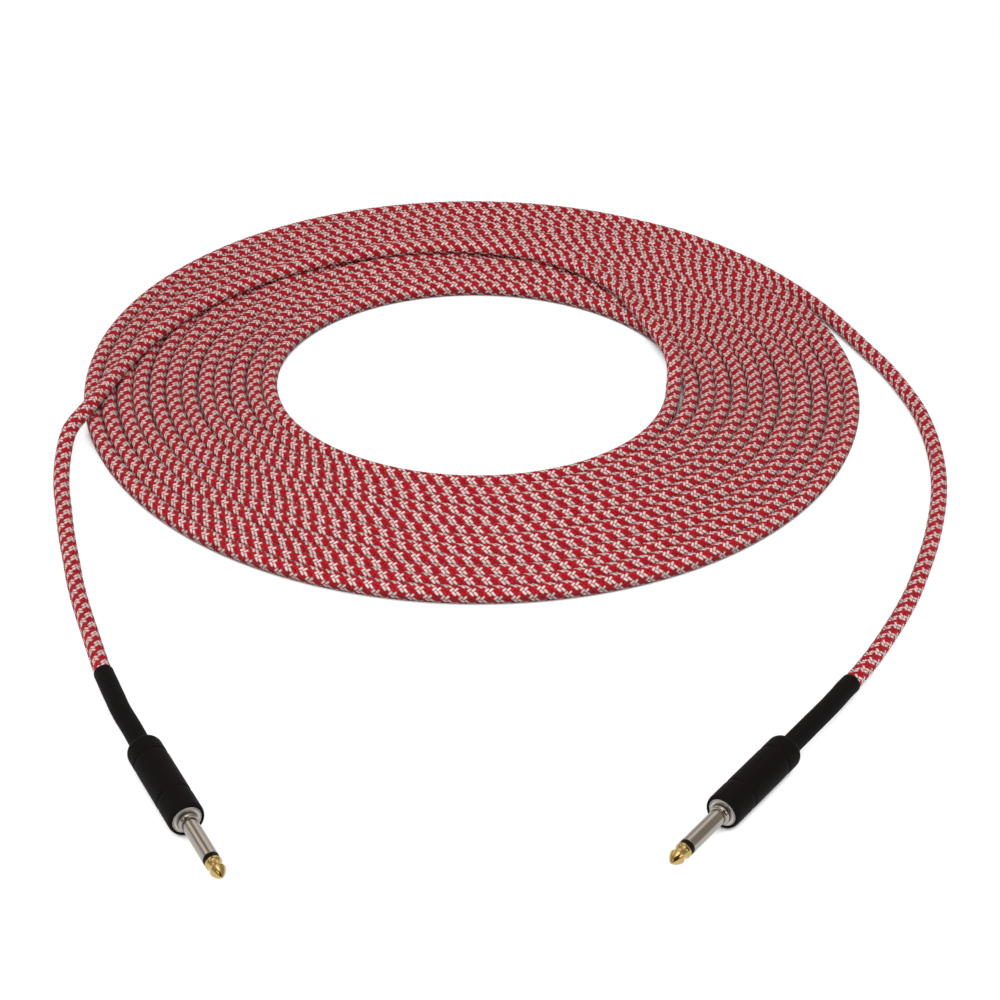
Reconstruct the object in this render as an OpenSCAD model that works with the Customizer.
// Instrument cable: a braided two-conductor lead with a straight 6.35 mm plug on each end,
// laid flat on a table with most of its length wound into one flat coil.
// Millimetres, +Z up. The origin lies on the table, midway between the two plugs.
// Each plug is drawn along its own +X axis, with x = 0 at the front rim of its barrel and the
// tip at positive x, and is then laid in place by left() or right().

/* [Contact] */
// Diameter of the sleeve contact, which sets the size of socket it fits
sleeve_d = 6.35; // [6.2:0.01:6.5]
// Length of the sleeve contact in front of its collar
sleeve_len = 20.35; // [18:0.05:24]
// Diameter of the collar between the sleeve and the flange
collar_d = 8.4; // [7.6:0.1:9.4]
// Length of the collar in front of the flange
collar_len = 2.65; // [1.5:0.05:4]
// Diameter of the knurled flange that the barrel is screwed up to
flange_d = 11.3; // [10.8:0.1:11.6]
// Thickness of the flange
flange_len = 2; // [1:0.1:3]
// How far the flange sits behind the rim of the barrel
flange_recess = 0.4; // [0:0.1:1.5]
// Number of notches round the flange
flange_notches = 40; // [24:4:60]
// Depth of a notch
notch_depth = 0.3; // [0.1:0.05:0.5]
// Diameter of the threaded boss behind the flange
thread_d = 10.4; // [9.8:0.1:10.8]
// Length of the threaded boss
thread_len = 7.1; // [5:0.1:9]
// Length of the insulating ring between the sleeve and the tip
ring_len = 1.4; // [0.8:0.1:2.5]
// Length of the tip contact in front of the insulating ring
tip_len = 10; // [8:0.1:11]
// Length of the tip's rear ring, up to the groove
tip_ring_len = 1.8; // [0.8:0.1:2]
// Length of the tip's groove
tip_groove_len = 4; // [3:0.1:5]
// Depth of the groove
tip_groove_depth = 0.6; // [0.3:0.05:1]
// Diameter of the tip at the base of its cone
tip_cone_d = 6; // [5:0.1:6.2]
// Radius of the blunt point
tip_point_r = 0.7; // [0.2:0.1:0.9]
// How far the cone's side bulges
tip_bulge = 0.2; // [0:0.05:0.3]
// Diameter of the rod that carries the tip through the plug
rod_d = 2.5; // [2:0.1:3]
// Wall of the insulating tube round the rod
insulator_wall = 0.95; // [0.6:0.05:1.2]

/* [Terminals] */
// Thickness of the stamped terminals
lug_t = 0.6; // [0.4:0.05:0.8]
// Outer diameter of the ground terminal
ground_lug_d = 8.4; // [7.8:0.1:8.8]
// Length of the ground terminal's arm, up to the cable clamp
ground_arm_len = 18.5; // [16:0.5:22]
// Angle that the arm covers round the plug's axis
ground_arm_arc = 56; // [30:2:80]
// Length of the cable clamp at the end of the arm
clamp_len = 6; // [4:0.5:8]
// Angle that the clamp covers round the cable
clamp_arc = 300; // [240:10:320]
// Thickness of the insulating washer between the two terminals
washer_t = 1; // [0.6:0.1:1.6]
// Diameter of the tip terminal
tip_lug_d = 5.2; // [4.4:0.1:6]
// Length of the tip terminal's solder tag
tag_len = 7.9; // [6:0.1:9]
// Width of the solder tag
tag_w = 2.4; // [1.6:0.1:3]
// Diameter of the rivet head that closes the rod
rivet_d = 3.8; // [3.2:0.1:4.4]
// Thickness of the rivet head
rivet_t = 1; // [0.6:0.1:1.4]

/* [Barrel] */
// Diameter of the barrel
barrel_d = 14; // [13.8:0.1:15]
// Length of the barrel
barrel_len = 47; // [45:0.5:56]
// Distance of the front groove from the rim
front_groove_at = 12.7; // [8:0.1:16]
// Distance of the rear groove from the rim
rear_groove_at = 36.9; // [30:0.1:38]
// Width of each groove
groove_width = 3.2; // [1:0.1:4]
// Depth of each groove
groove_depth = 0.35; // [0.1:0.05:0.45]
// Length of the rounding at the front rim
rim_len = 2.2; // [0.5:0.1:3]
// Length of the rounded rear shoulder
shoulder_len = 3.2; // [1.5:0.1:4]
// Wall of the black cover
cover_wall = 0.75; // [0.6:0.05:0.9]
// Wall of the metal barrel inside the cover
shell_wall = 0.7; // [0.5:0.05:0.9]
// Thickness of the metal barrel's rear wall
shell_back = 3.2; // [2:0.1:4]
// Wall of the insulating liner inside the metal barrel
liner_wall = 0.5; // [0.3:0.05:0.6]

/* [Cable] */
// Diameter of the braided cable
cord_d = 7; // [6:0.1:7]
// Wall of the shrink boot over the cable behind each plug
boot_wall = 0.5; // [0.2:0.05:0.5]
// Distance from the cable clamp to the front end of the boot, inside the barrel
clamp_to_boot = 4; // [0.5:0.5:8]
// Diameter of the insulated core inside the cable
core_d = 2.6; // [2:0.1:2.6]
// Diameter of the bare core wire
wire_d = 1; // [0.6:0.1:1.2]
// Diameter of the twisted shield tail
shield_d = 1.6; // [1:0.1:1.6]
// Length of bared core in front of the end of the jacket
core_len = 4; // [3:0.5:5]

/* [Coil] */
// Number of turns, in steps of one ring of the tube
turns = 11.875; // [2.875:1:11.875]
// Half width of the coil's hole, to the middle of the first turn
coil_half_x = 93; // [80:0.5:110]
// Half depth of the coil's hole, to the middle of the first turn
coil_half_y = 87; // [80:0.5:110]
// Growth in half width for each turn
pitch_x = 7.5; // [7.5:0.1:9]
// Growth in half depth for each turn
pitch_y = 7.9; // [7.5:0.1:9]

/* [Lay on the table] */
// Place of the left plug's rim
left_rim = [-104, -32];
// Direction that the left plug points in
left_heading = -62.6; // [-75:0.1:-50]
// Place of the right plug's rim
right_rim = [89.5, -23];
// Direction that the right plug points in
right_heading = -125.5; // [-135:0.1:-110]

/* [Hidden] */
$fn = 64;

// Clearances: between pieces fixed together, in the thread, and between pieces that move.
fit = 0.05;
thread_fit = 0.08;
running_gap = 0.3;
boot_gap = 0.6;
// Solder under a wire, above the terminal that it lies on.
bedding = 0.15;
arc_steps = 8;

// Radii.
sleeve_r = sleeve_d / 2;
collar_r = collar_d / 2;
flange_r = flange_d / 2;
thread_r = thread_d / 2;
rod_r = rod_d / 2;
rod_bore_r = rod_r + fit;
insulator_r = rod_bore_r + insulator_wall;
sleeve_bore_r = insulator_r + fit;
ring_r = sleeve_r - fit;
tip_r = sleeve_r - fit / 2;
tip_cone_r = tip_cone_d / 2;
rivet_r = rivet_d / 2;
cord_r = cord_d / 2;
boot_r = cord_r + boot_wall;
boot_hole_r = boot_r + boot_gap;
barrel_r = barrel_d / 2;
shell_r = barrel_r - cover_wall - fit;
shell_bore_r = shell_r - shell_wall;
liner_r = shell_bore_r - running_gap;
liner_bore_r = liner_r - liner_wall;
rim_bore_r = flange_r + running_gap;
arm_r = ground_lug_d / 2;
arm_bore_r = arm_r - lug_t;
washer_r = arm_bore_r - 2 * fit;
core_r = core_d / 2;
wire_r = wire_d / 2;
shield_r = shield_d / 2;

// Stations along a plug, from the point to the end of the jacket.
x_flange = -flange_recess;
x_flange_back = x_flange - flange_len;
x_thread_back = x_flange_back - thread_len;
x_collar = x_flange + collar_len;
x_sleeve = x_collar + sleeve_len;
x_ring = x_sleeve + ring_len;
x_point = x_ring + tip_len;
x_washer = x_thread_back - lug_t;
x_tip_lug = x_washer - washer_t;
x_rivet = x_tip_lug - lug_t;
x_clamp = x_thread_back - ground_arm_len;
x_jacket = x_clamp + clamp_len / 4;
x_core = x_jacket + core_len;
x_tag_end = x_tip_lug - tag_len;
x_rear = -barrel_len;
x_shoulder = x_rear + shoulder_len;
x_shell_front = x_flange_back - 2 * fit;
shoulder_size = [barrel_r - boot_hole_r - 4 * fit, shoulder_len];
shoulder_centre = [barrel_r - shoulder_size[0], x_shoulder];
x_liner_front = x_thread_back - running_gap;
x_liner_back = x_rear + shell_back + cover_wall + 2 * running_gap;
x_boot = x_clamp - clamp_len - clamp_to_boot;

// Heights above a plug's axis of the solder tag and of the wire that lies on it.
tag_z = rivet_r + 2 * fit;
wire_z = tag_z + lug_t + bedding + wire_r;
shield_z = -arm_bore_r + bedding + shield_r;

// The tube of the cable: 12 flat sides on the leads and 6 on the coil, of the same height,
// with a flat side down.
lead_sides = 12;
boot_sides = 24;
lie_h = cord_r * cos(180 / lead_sides);
coil_sides = [
    [cord_r, 0], [cord_r / 2, lie_h], [-cord_r / 2, lie_h],
    [-cord_r, 0], [-cord_r / 2, -lie_h], [cord_r / 2, -lie_h]
];

// The coil, seen from above, winds outwards clockwise about this centre from this angle.
coil_centre = [-5, 292];
coil_from = 20;
coil_drift = 0.2;
rings_per_turn = 24;
// The first turn is drawn in a little, so that the lead lies down inside the second.
draw_in = 1.8;
draw_in_turns = 0.3;

// Routes of the two leads from barrel to coil: x, y and the height above lying flat. Their first
// points keep to the plug's axis, to let the barrel be drawn back, and then the cable bends.
boot_points = 7;
left_route = [
    [-131.4, 21.4, 3.6], [-136.8, 32.1, 3.4], [-139.9, 39.5, 3.2], [-142.2, 45.1, 2.9],
    [-144.8, 51.6, 2.5], [-147.3, 57.9, 2], [-152.6, 73.2, 1.1], [-157.6, 88.4, 0.4],
    [-163, 104.5, 0], [-168, 121, 0],
    [-172.5, 138.5, 0], [-177, 156, 0], [-181.5, 176.5, 0], [-185.5, 196, 0.6],
    [-187.5, 215, 2.8], [-187, 233, 5.6], [-181, 251, 7.2],
    [-175.5, 272, 7.2], [-169.5, 293, 7.2], [-162, 313, 7.2], [-152, 332.5, 7.2],
    [-141, 349.5, 7.2], [-128, 364.5, 7.2], [-114.5, 377.5, 7.2], [-98.5, 389.5, 7.2],
    [-81, 400, 7.2], [-61, 408, 7.2], [-40.5, 413.5, 7.2], [-19, 416, 7.2],
    [2, 414.5, 7.2], [21.5, 409, 7.2], [39.5, 399, 7.2], [55, 385, 7.2],
    [66.5, 368.5, 7.2], [73, 352, 7.2], [78.5, 338.5, 7], [82.5, 328, 6.4],
    [86, 317.5, 5.8], [88, 307.5, 4.8], [88.4, 298, 2.6], [87.7, 290.5, 0.7]
];
right_route = [
    [124.2, 25.9, 3.6], [131.1, 35.8, 3.4], [135.6, 42.4, 3.2], [138.8, 47.5, 2.9],
    [142.4, 53.5, 2.5], [146, 59.2, 2], [156, 76.5, 0.9], [164, 92, 0.3],
    [171.5, 107.5, 0], [178.5, 123.5, 0],
    [184.5, 140.5, 0], [190.5, 159, 0], [195.5, 178, 0], [199.5, 197, 0],
    [202, 215.5, 0], [203, 234, 0], [202.5, 252.5, 0], [200.5, 271.5, 0],
    [196, 291, 0], [190, 310.5, 0], [181.5, 331, 0], [172.5, 352, 0],
    [163, 371.5, 0], [150.5, 391.5, 0], [135, 411.5, 0], [117, 429.5, 0],
    [97.5, 444.8, 0]
];

// ---- Shapes ----------------------------------------------------------------------------

// Points of a round or oval arc in a profile, as [radius, station].
function oval(centre, radii, from, to) = [
    for (i = [0:arc_steps])
        let (a = from + (to - from) * i / arc_steps)
            centre + [radii[0] * cos(a), radii[1] * sin(a)]
];

// A body of revolution about the plug's axis. An open one is centred on the underside.
module turned(profile, open_to = 360) {
    rotate([0, 90, 0])
        rotate([0, 0, -open_to / 2])
            rotate_extrude(angle = open_to)
                polygon(profile);
}

// A plain ring between two radii and two stations.
module ring(bore_r, r, from, to, open_to = 360) {
    turned([[bore_r, from], [r, from], [r, to], [bore_r, to]], open_to);
}

// A rod along the plug's axis direction, at a height above the axis.
module rod(r, from, to, height = 0) {
    translate([from, 0, height])
        rotate([0, 90, 0])
            cylinder(r = r, h = to - from);
}

function unit(v) = v / norm(v);

// Corners of a tube's section, with a flat side down.
function round_section(r, sides) = [
    for (i = [0:sides - 1])
        let (a = (i + 0.5) * 360 / sides)
            r * [cos(a), sin(a)]
];

// One ring of a tube: the section stood square to the direction that the tube runs in.
function tube_ring(at, along, section) =
    let (side = unit(cross(along, [0, 0, 1])), up = cross(side, along))
        [for (q = section) at + q[0] * side + q[1] * up];

// Directions at a route's points: given at the two ends, and along the neighbours between.
function directions(route, first, last) = [
    for (i = [0:len(route) - 1])
        i == 0 ? first
        : i == len(route) - 1 ? last
        : unit(route[i + 1] - route[i - 1])
];

// One closed tube through all the points of a route.
module tube(route, along, section) {
    n = len(section);
    last = (len(route) - 1) * n;
    points = [for (i = [0:len(route) - 1]) each tube_ring(route[i], along[i], section)];
    walls = [
        for (i = [0:len(route) - 2], j = [0:n - 1])
            let (a = i * n + j, b = i * n + (j + 1) % n)
                each [[a, b, b + n], [a, b + n, a + n]]
    ];
    caps = [for (j = [1:n - 2]) each [[0, j + 1, j], [last, last + j, last + j + 1]]];
    polyhedron(points, concat(walls, caps));
}

// One closed tube with a bore, from two sections of as many corners.
module pipe(route, along, section, bore) {
    n = len(section);
    rings = len(route);
    inner = rings * n;
    points = concat(
        [for (i = [0:rings - 1]) each tube_ring(route[i], along[i], section)],
        [for (i = [0:rings - 1]) each tube_ring(route[i], along[i], bore)]
    );
    walls = [
        for (i = [0:rings - 2], j = [0:n - 1])
            let (a = i * n + j, b = i * n + (j + 1) % n)
                each [
                    [a, b, b + n], [a, b + n, a + n],
                    [inner + a, inner + b + n, inner + b], [inner + a, inner + a + n, inner + b + n]
                ]
    ];
    last = (rings - 1) * n;
    ends = [
        for (j = [0:n - 1])
            let (k = (j + 1) % n)
                each [
                    [j, inner + j, inner + k], [j, inner + k, k],
                    [last + j, last + k, inner + last + k], [last + j, inner + last + k, inner + last + j]
                ]
    ];
    polyhedron(points, concat(walls, ends));
}

// ---- Places ----------------------------------------------------------------------------

module left() {
    translate([left_rim[0], left_rim[1], barrel_r])
        rotate([0, 0, left_heading])
            children();
}

module right() {
    translate([right_rim[0], right_rim[1], barrel_r])
        rotate([0, 0, right_heading])
            children();
}

function heading_dir(heading) = [cos(heading), sin(heading), 0];
function on_axis(rim, heading, x) = [rim[0], rim[1], barrel_r] + x * heading_dir(heading);
function laid(p) = [p[0], p[1], p[2] + lie_h];

// ---- Coil ------------------------------------------------------------------------------

// Middle of the cable after t turns.
function coil_point(t) =
    let (a = coil_from - 360 * t, inward = draw_in * pow(max(0, 1 - t / draw_in_turns), 2))
        [
            coil_centre[0] + (coil_half_x + pitch_x * t - inward) * cos(a),
            coil_centre[1] + coil_drift * t + (coil_half_y + pitch_y * t - inward) * sin(a),
            lie_h
        ];

coil_first = 2;
coil_last = round(turns * rings_per_turn);
coil_turn_points = [for (i = [coil_first:coil_last]) coil_point(i / rings_per_turn)];
function coil_dir(i) =
    unit(coil_point((i + 0.5) / rings_per_turn) - coil_point((i - 0.5) / rings_per_turn));
coil_in_dir = coil_dir(coil_first);
coil_out_dir = coil_dir(coil_last);
coil_in = coil_turn_points[0] - cord_d * coil_in_dir;
coil_out = coil_turn_points[len(coil_turn_points) - 1] + cord_d * coil_out_dir;
coil_route = concat([coil_in], coil_turn_points, [coil_out]);
coil_along = concat(
    [coil_in_dir],
    [for (i = [coil_first:coil_last]) coil_dir(i)],
    [coil_out_dir]
);

// Least gap between neighbouring turns, from each outer corner to the next turn's inner edge.
function coil_edge(i, side) =
    tube_ring(coil_route[i], coil_along[i], [[side * cord_r, 0]])[0];
function to_segment(p, a, b) =
    let (u = max(0, min(1, (p - a) * (b - a) / ((b - a) * (b - a)))))
        norm(p - a - u * (b - a));
coil_gap = min([
    for (i = [0:len(coil_route) - 1], k = [i + rings_per_turn - 3:i + rings_per_turn + 2])
        if (k + 1 < len(coil_route))
            to_segment(coil_edge(i, -1), coil_edge(k, 1), coil_edge(k + 1, 1))
]);
coil_length = cord_d * 2 + sum_steps(coil_turn_points);
function sum_steps(route) =
    [for (i = [1:len(route) - 1]) norm(route[i] - route[i - 1])] * [for (i = [2:len(route)]) 1];

module cord_coil() {
    color("crimson")
        tube(coil_route, coil_along, coil_sides);
}

// ---- Leads -----------------------------------------------------------------------------

function lead_points(rim, heading, route) = concat(
    [for (x = [x_jacket, x_rear]) on_axis(rim, heading, x)],
    [for (p = route) laid(p)]
);
left_lead = concat(lead_points(left_rim, left_heading, left_route), [coil_in]);
left_along = directions(left_lead, -heading_dir(left_heading), coil_in_dir);
right_lead = concat(lead_points(right_rim, right_heading, right_route), [coil_out]);
right_along = directions(right_lead, -heading_dir(right_heading), -coil_out_dir);

module lead(route, along) {
    color("crimson")
        tube(route, along, round_section(cord_r, lead_sides));
}

// The shrink boot: out through the back of the barrel, then bending with the cable.
module boot(rim, heading, route, along) {
    color([0.05, 0.05, 0.055])
        pipe(
            concat([on_axis(rim, heading, x_boot)], [for (i = [1:boot_points]) route[i]]),
            concat([-heading_dir(heading)], [for (i = [1:boot_points]) along[i]]),
            round_section(boot_r, boot_sides),
            round_section((cord_r + fit) / cos(180 / boot_sides), boot_sides)
        );
}

// ---- Contacts --------------------------------------------------------------------------

module tip() {
    cone_start = x_ring + tip_ring_len + tip_groove_len;
    groove = [
        for (i = [0:arc_steps])
            let (u = i / arc_steps)
                [
                    tip_r * (1 - u) + tip_cone_r * u - tip_groove_depth * sin(180 * u),
                    x_ring + tip_ring_len + tip_groove_len * u
                ]
    ];
    // The cone's side bulges a little and runs into the arc of the blunt point.
    slope = atan2(tip_cone_r - tip_point_r, x_point - cone_start);
    turn_in = atan2(4 * tip_bulge, x_point - cone_start);
    point = oval([0, x_point - tip_point_r], tip_point_r * [1, 1], slope + turn_in, 90);
    side = [
        for (i = [1:arc_steps - 1])
            let (u = i / arc_steps)
                [tip_cone_r, cone_start] * (1 - u) + point[0] * u
                    + 4 * u * (1 - u) * tip_bulge * [cos(slope), sin(slope)]
    ];
    color("gold")
        turned(concat(
            [
                [0, x_rivet - rivet_t], [rivet_r, x_rivet - rivet_t],
                [rivet_r, x_rivet], [rod_r, x_rivet], [rod_r, x_ring], [tip_r, x_ring]
            ],
            groove,
            side,
            point
        ));
}

module tip_insulator() {
    color([0.06, 0.05, 0.05])
        turned([
            [rod_bore_r, x_washer], [insulator_r, x_washer], [insulator_r, x_sleeve],
            [ring_r, x_sleeve], [ring_r, x_ring], [rod_bore_r, x_ring]
        ]);
}

// The sleeve contact, collar, knurled flange and threaded boss are one turned piece.
module sleeve() {
    edge = 0.3;
    color([0.78, 0.76, 0.73]) {
        turned([
            [sleeve_bore_r, x_thread_back], [thread_r - edge, x_thread_back],
            [thread_r, x_thread_back + edge], [thread_r, x_flange_back],
            [collar_r, x_flange_back], [collar_r, x_collar - edge],
            [collar_r - edge, x_collar], [sleeve_r, x_collar],
            [sleeve_r, x_sleeve], [sleeve_bore_r, x_sleeve]
        ]);
        translate([x_flange_back, 0, 0])
            rotate([0, 90, 0])
                linear_extrude(flange_len)
                    difference() {
                        circle(r = flange_r);
                        circle(r = sleeve_r);
                        for (i = [0:flange_notches - 1])
                            rotate(i * 360 / flange_notches)
                                translate([flange_r, 0])
                                    rotate(45)
                                        square(notch_depth * sqrt(2), center = true);
                    }
    }
}

// ---- Terminals -------------------------------------------------------------------------

module ground_lug() {
    clamp_bore_r = cord_r + fit;
    color([0.72, 0.7, 0.62]) {
        ring(sleeve_bore_r, arm_r, x_washer, x_thread_back);
        ring(arm_bore_r, arm_r, x_clamp, x_thread_back, ground_arm_arc);
        ring(clamp_bore_r, arm_r, x_clamp - clamp_len, x_clamp, clamp_arc);
    }
}

module rear_insulator() {
    color([0.45, 0.25, 0.12])
        ring(rod_bore_r, washer_r, x_tip_lug, x_washer);
}

module tip_lug() {
    color([0.72, 0.7, 0.62]) {
        ring(rod_bore_r, tip_lug_d / 2, x_rivet, x_tip_lug);
        translate([x_tag_end, -tag_w / 2, tag_z])
            cube([tag_len, tag_w, lug_t]);
    }
}

module core_insulation() {
    color("ivory")
        ring(wire_r + fit, core_r, x_jacket, x_core);
}

// The bare core: out of its insulation, up, and along the top of the solder tag.
module core_wire() {
    rise = x_tag_end - x_core;
    route = [
        [x_jacket, 0, 0], [x_core, 0, 0], [x_core + rise * 0.35, 0, wire_z * 0.25],
        [x_core + rise * 0.7, 0, wire_z * 0.8], [x_tag_end - 0.3, 0, wire_z],
        [x_tag_end + tag_len * 0.6, 0, wire_z]
    ];
    color("peru")
        tube(route, directions(route, [1, 0, 0], [1, 0, 0]), round_section(wire_r, 8));
}

// The cable's shield, twisted into a tail and laid along the ground terminal's arm.
module shield_tail() {
    start_z = -(core_r + shield_r + 2 * fit);
    reach = x_core + 1 - x_jacket;
    route = [
        [x_jacket, 0, start_z], [x_jacket + reach * 0.2, 0, start_z],
        [x_jacket + reach * 0.45, 0, shield_z], [x_core + 1, 0, shield_z]
    ];
    color("peru")
        tube(route, directions(route, [1, 0, 0], [1, 0, 0]), round_section(shield_r, 8));
}

// Two beads of solder: the core on its tag, and the shield on the ground arm.
module solder() {
    bead_r = tag_w * 0.6;
    x_bead = x_tag_end + tag_len * 0.4;
    pool_r = arm_bore_r - core_r - 4 * fit;
    color([0.66, 0.67, 0.68]) {
        difference() {
            translate([x_bead, 0, tag_z + lug_t])
                sphere(r = bead_r);
            rod(wire_r + fit / 2, x_bead - 2 * bead_r, x_bead + 2 * bead_r, wire_z);
            translate([x_bead - 2 * bead_r, -2 * bead_r, tag_z + lug_t - 3 * bead_r])
                cube([4 * bead_r, 4 * bead_r, 3 * bead_r]);
        }
        difference() {
            intersection() {
                translate([x_core, 0, -arm_bore_r])
                    sphere(r = pool_r);
                rod(arm_bore_r - fit / 2, x_core - 3 * pool_r, x_core + 3 * pool_r);
            }
            rod(shield_r + fit / 2, x_core - 3 * pool_r, x_core + 3 * pool_r, shield_z);
        }
    }
}

// ---- Barrel ----------------------------------------------------------------------------

module liner() {
    color([0.88, 0.88, 0.84])
        ring(liner_bore_r, liner_r, x_liner_back, x_liner_front);
}

// The metal barrel: threaded at the front, and closed to the width of the boot at the back.
module barrel() {
    color([0.70, 0.62, 0.40])
        turned(concat(
            [
                [boot_hole_r, x_rear + cover_wall + shell_back],
                [shell_bore_r, x_rear + cover_wall + shell_back],
                [shell_bore_r, x_thread_back], [thread_r + thread_fit, x_thread_back],
                [thread_r + thread_fit, x_shell_front], [shell_r, x_shell_front]
            ],
            oval(shoulder_centre, shoulder_size - (cover_wall + fit) * [1, 1], 0, -90),
            [[boot_hole_r, x_rear + cover_wall + fit]]
        ));
}

// A shallow round groove in the cover, from front to back.
function groove(at) = [
    for (i = [0:2 * arc_steps])
        let (u = i / (2 * arc_steps))
            [
                barrel_r - groove_depth * pow(sin(180 * u), 2),
                -at + groove_width * (0.5 - u)
            ]
];

// The black cover: a round rim, two grooves and a round shoulder.
module barrel_cover() {
    rim_h = barrel_r - rim_bore_r - fit;
    color([0.07, 0.07, 0.08])
        turned(concat(
            [[rim_bore_r, x_shell_front + fit], [rim_bore_r, 0]],
            oval([barrel_r - rim_h, -rim_len], [rim_h, rim_len], 90, 0),
            groove(front_groove_at),
            groove(rear_groove_at),
            oval(shoulder_centre, shoulder_size, 0, -90),
            [[boot_hole_r, x_rear], [boot_hole_r, x_rear + cover_wall]],
            oval(shoulder_centre, shoulder_size - cover_wall * [1, 1], -90, 0),
            [[shell_r + fit, x_shell_front + fit]]
        ));
}

echo(least_gap_between_turns = coil_gap);
echo(metres_in_coil = coil_length / 1000);
echo(metres_in_leads = [sum_steps(left_lead), sum_steps(right_lead)] / 1000);

cord_coil();
lead(left_lead, left_along);  // cord_lead_left
lead(right_lead, right_along);  // cord_lead_right
left() tip();  // left_tip
left() tip_insulator();  // left_tip_insulator
left() sleeve();  // left_sleeve
left() ground_lug();  // left_ground_lug
left() rear_insulator();  // left_rear_insulator
left() tip_lug();  // left_tip_lug
left() core_insulation();  // left_core_insulation
left() core_wire();  // left_core_wire
left() shield_tail();  // left_shield_tail
left() solder();  // left_solder
left() liner();  // left_liner
left() barrel();  // left_barrel
left() barrel_cover();  // left_barrel_cover
boot(left_rim, left_heading, left_lead, left_along);  // left_boot
right() tip();  // right_tip
right() tip_insulator();  // right_tip_insulator
right() sleeve();  // right_sleeve
right() ground_lug();  // right_ground_lug
right() rear_insulator();  // right_rear_insulator
right() tip_lug();  // right_tip_lug
right() core_insulation();  // right_core_insulation
right() core_wire();  // right_core_wire
right() shield_tail();  // right_shield_tail
right() solder();  // right_solder
right() liner();  // right_liner
right() barrel();  // right_barrel
right() barrel_cover();  // right_barrel_cover
boot(right_rim, right_heading, right_lead, right_along);  // right_boot
